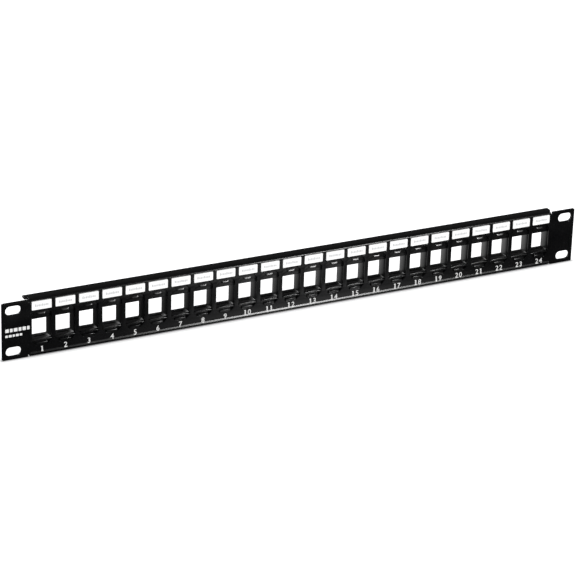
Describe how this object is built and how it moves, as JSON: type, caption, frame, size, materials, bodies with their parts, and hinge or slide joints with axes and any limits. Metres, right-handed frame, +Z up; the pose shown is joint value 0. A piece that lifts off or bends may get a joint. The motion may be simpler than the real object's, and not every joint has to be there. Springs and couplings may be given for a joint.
{
  "type": "patch panel",
  "caption": "One-unit 19-inch rack patch panel: a black steel channel with slotted ears, a row of unloaded keystone jack openings, and a white pull-out label tile above each.",
  "frame": {"origin": "centre of the overall box; the mounting plane, the rear face of the sheet, lies 3.15 mm in front of it", "axes": "+X along the panel to the right seen from the front, +Y into the rack, +Z up"},
  "size_m": [0.4826, 0.0108, 0.0442],
  "materials": {
    "powder_coated_steel": "fine-textured black powder coat, satin, with white screen-printed port numbers",
    "black_moulding": "black moulded plastic, satin",
    "white_label": "white, satin, with a faint grey writing line"
  },
  "bodies": {
    "panel": {"front_panel": "powder_coated_steel", "keystone_frame_01": "black_moulding", "keystone_frame_02": "black_moulding", "keystone_frame_03": "black_moulding", "keystone_frame_04": "black_moulding", "keystone_frame_05": "black_moulding", "keystone_frame_06": "black_moulding", "keystone_frame_07": "black_moulding", "keystone_frame_08": "black_moulding", "keystone_frame_09": "black_moulding", "keystone_frame_10": "black_moulding", "keystone_frame_11": "black_moulding", "keystone_frame_12": "black_moulding", "keystone_frame_13": "black_moulding", "keystone_frame_14": "black_moulding", "keystone_frame_15": "black_moulding", "keystone_frame_16": "black_moulding", "keystone_frame_17": "black_moulding", "keystone_frame_18": "black_moulding", "keystone_frame_19": "black_moulding", "keystone_frame_20": "black_moulding", "keystone_frame_21": "black_moulding", "keystone_frame_22": "black_moulding", "keystone_frame_23": "black_moulding", "keystone_frame_24": "black_moulding"},
    "label_01": {"label_tile_01": "white_label"},
    "label_02": {"label_tile_02": "white_label"},
    "label_03": {"label_tile_03": "white_label"},
    "label_04": {"label_tile_04": "white_label"},
    "label_05": {"label_tile_05": "white_label"},
    "label_06": {"label_tile_06": "white_label"},
    "label_07": {"label_tile_07": "white_label"},
    "label_08": {"label_tile_08": "white_label"},
    "label_09": {"label_tile_09": "white_label"},
    "label_10": {"label_tile_10": "white_label"},
    "label_11": {"label_tile_11": "white_label"},
    "label_12": {"label_tile_12": "white_label"},
    "label_13": {"label_tile_13": "white_label"},
    "label_14": {"label_tile_14": "white_label"},
    "label_15": {"label_tile_15": "white_label"},
    "label_16": {"label_tile_16": "white_label"},
    "label_17": {"label_tile_17": "white_label"},
    "label_18": {"label_tile_18": "white_label"},
    "label_19": {"label_tile_19": "white_label"},
    "label_20": {"label_tile_20": "white_label"},
    "label_21": {"label_tile_21": "white_label"},
    "label_22": {"label_tile_22": "white_label"},
    "label_23": {"label_tile_23": "white_label"},
    "label_24": {"label_tile_24": "white_label"}
  },
  "joints": [
    {"name": "label_01_pull", "type": "slide", "parent": "panel", "child": "label_01", "axis": [0, -1, 0], "range_m": [0, 0.006]},
    {"name": "label_02_pull", "type": "slide", "parent": "panel", "child": "label_02", "axis": [0, -1, 0], "range_m": [0, 0.006]},
    {"name": "label_03_pull", "type": "slide", "parent": "panel", "child": "label_03", "axis": [0, -1, 0], "range_m": [0, 0.006]},
    {"name": "label_04_pull", "type": "slide", "parent": "panel", "child": "label_04", "axis": [0, -1, 0], "range_m": [0, 0.006]},
    {"name": "label_05_pull", "type": "slide", "parent": "panel", "child": "label_05", "axis": [0, -1, 0], "range_m": [0, 0.006]},
    {"name": "label_06_pull", "type": "slide", "parent": "panel", "child": "label_06", "axis": [0, -1, 0], "range_m": [0, 0.006]},
    {"name": "label_07_pull", "type": "slide", "parent": "panel", "child": "label_07", "axis": [0, -1, 0], "range_m": [0, 0.006]},
    {"name": "label_08_pull", "type": "slide", "parent": "panel", "child": "label_08", "axis": [0, -1, 0], "range_m": [0, 0.006]},
    {"name": "label_09_pull", "type": "slide", "parent": "panel", "child": "label_09", "axis": [0, -1, 0], "range_m": [0, 0.006]},
    {"name": "label_10_pull", "type": "slide", "parent": "panel", "child": "label_10", "axis": [0, -1, 0], "range_m": [0, 0.006]},
    {"name": "label_11_pull", "type": "slide", "parent": "panel", "child": "label_11", "axis": [0, -1, 0], "range_m": [0, 0.006]},
    {"name": "label_12_pull", "type": "slide", "parent": "panel", "child": "label_12", "axis": [0, -1, 0], "range_m": [0, 0.006]},
    {"name": "label_13_pull", "type": "slide", "parent": "panel", "child": "label_13", "axis": [0, -1, 0], "range_m": [0, 0.006]},
    {"name": "label_14_pull", "type": "slide", "parent": "panel", "child": "label_14", "axis": [0, -1, 0], "range_m": [0, 0.006]},
    {"name": "label_15_pull", "type": "slide", "parent": "panel", "child": "label_15", "axis": [0, -1, 0], "range_m": [0, 0.006]},
    {"name": "label_16_pull", "type": "slide", "parent": "panel", "child": "label_16", "axis": [0, -1, 0], "range_m": [0, 0.006]},
    {"name": "label_17_pull", "type": "slide", "parent": "panel", "child": "label_17", "axis": [0, -1, 0], "range_m": [0, 0.006]},
    {"name": "label_18_pull", "type": "slide", "parent": "panel", "child": "label_18", "axis": [0, -1, 0], "range_m": [0, 0.006]},
    {"name": "label_19_pull", "type": "slide", "parent": "panel", "child": "label_19", "axis": [0, -1, 0], "range_m": [0, 0.006]},
    {"name": "label_20_pull", "type": "slide", "parent": "panel", "child": "label_20", "axis": [0, -1, 0], "range_m": [0, 0.006]},
    {"name": "label_21_pull", "type": "slide", "parent": "panel", "child": "label_21", "axis": [0, -1, 0], "range_m": [0, 0.006]},
    {"name": "label_22_pull", "type": "slide", "parent": "panel", "child": "label_22", "axis": [0, -1, 0], "range_m": [0, 0.006]},
    {"name": "label_23_pull", "type": "slide", "parent": "panel", "child": "label_23", "axis": [0, -1, 0], "range_m": [0, 0.006]},
    {"name": "label_24_pull", "type": "slide", "parent": "panel", "child": "label_24", "axis": [0, -1, 0], "range_m": [0, 0.006]}
  ]
}
